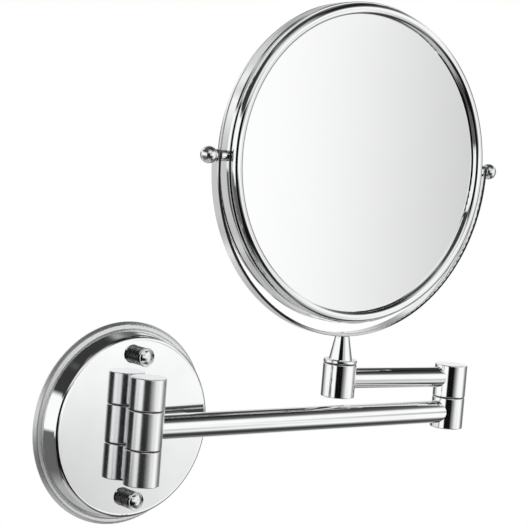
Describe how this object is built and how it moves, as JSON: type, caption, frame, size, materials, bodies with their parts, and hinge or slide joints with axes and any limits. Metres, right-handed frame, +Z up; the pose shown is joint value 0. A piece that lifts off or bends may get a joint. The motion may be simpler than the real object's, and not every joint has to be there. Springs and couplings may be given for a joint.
{
  "type": "extendable shaving mirror",
  "caption": "Chrome wall-mounted extendable shaving mirror: round wall cover, folding arm of tubes with hinge barrels, and a swivelling yoke that holds a round tilting double-sided mirror.",
  "frame": {"origin": "centre of the round wall cover, on the wall's surface", "axes": "+X runs right along the wall, +Y points into the wall, +Z up; the mirror faces -Y"},
  "size_m": [0.3545, 0.0484, 0.3468],
  "materials": {
    "polished_chrome": "polished chrome plate",
    "knurled_chrome": "chrome plate with a fine knurled grip",
    "plated_steel": "zinc-plated steel",
    "black_nylon": "matte moulded nylon",
    "mirror_glass": "silvered glass",
    "white_plastic": "plain moulded plastic"
  },
  "bodies": {
    "wall_base": {"wall_strap": "plated_steel", "strap_studs": "plated_steel", "wall_cover": "polished_chrome", "thumb_nuts": "knurled_chrome", "upper_wall_knuckle": "polished_chrome", "lower_wall_knuckle": "polished_chrome", "knuckle_screws": "plated_steel", "base_hinge_pin": "plated_steel", "base_hinge_washers": "black_nylon"},
    "lower_arm": {"arm_knuckle": "polished_chrome", "lower_arm_tube": "polished_chrome", "elbow_lower_knuckle": "polished_chrome", "elbow_washer": "black_nylon"},
    "upper_arm": {"elbow_upper_knuckle": "polished_chrome", "elbow_pin": "plated_steel", "elbow_spring_washer": "plated_steel", "elbow_nut": "plated_steel", "upper_arm_tube": "polished_chrome", "stem_socket": "polished_chrome", "swivel_washer": "black_nylon"},
    "yoke": {"swivel_cone": "polished_chrome", "swivel_spring_washer": "plated_steel", "swivel_screw": "plated_steel", "yoke_strip": "polished_chrome", "yoke_screw": "polished_chrome"},
    "mirror_head": {"pivot_knob_left": "polished_chrome", "pivot_knob_right": "polished_chrome", "pivot_spacers": "polished_chrome", "pivot_washers": "black_nylon", "pivot_nuts": "plated_steel", "frame_band": "polished_chrome", "front_rim": "polished_chrome", "rear_rim": "polished_chrome", "plain_glass": "mirror_glass", "magnifying_glass": "mirror_glass", "glass_spacer": "white_plastic"}
  },
  "joints": [
    {"name": "arm_swing", "type": "hinge", "parent": "wall_base", "child": "lower_arm", "pos_m": [0, -0.027, 0.0012], "axis": [0, 0, 1], "range_deg": [-177.5, 2]},
    {"name": "elbow_fold", "type": "hinge", "parent": "lower_arm", "child": "upper_arm", "pos_m": [0.25781, -0.0369, 0.0127], "axis": [0, 0, 1], "continuous": true},
    {"name": "head_swivel", "type": "hinge", "parent": "upper_arm", "child": "yoke", "pos_m": [0.16333, -0.02295, 0.0373], "axis": [0, 0, 1], "continuous": true},
    {"name": "mirror_tilt", "type": "hinge", "parent": "yoke", "child": "mirror_head", "pos_m": [0.16333, -0.02295, 0.1734], "axis": [0.9977, -0.0675, 0], "continuous": true}
  ]
}
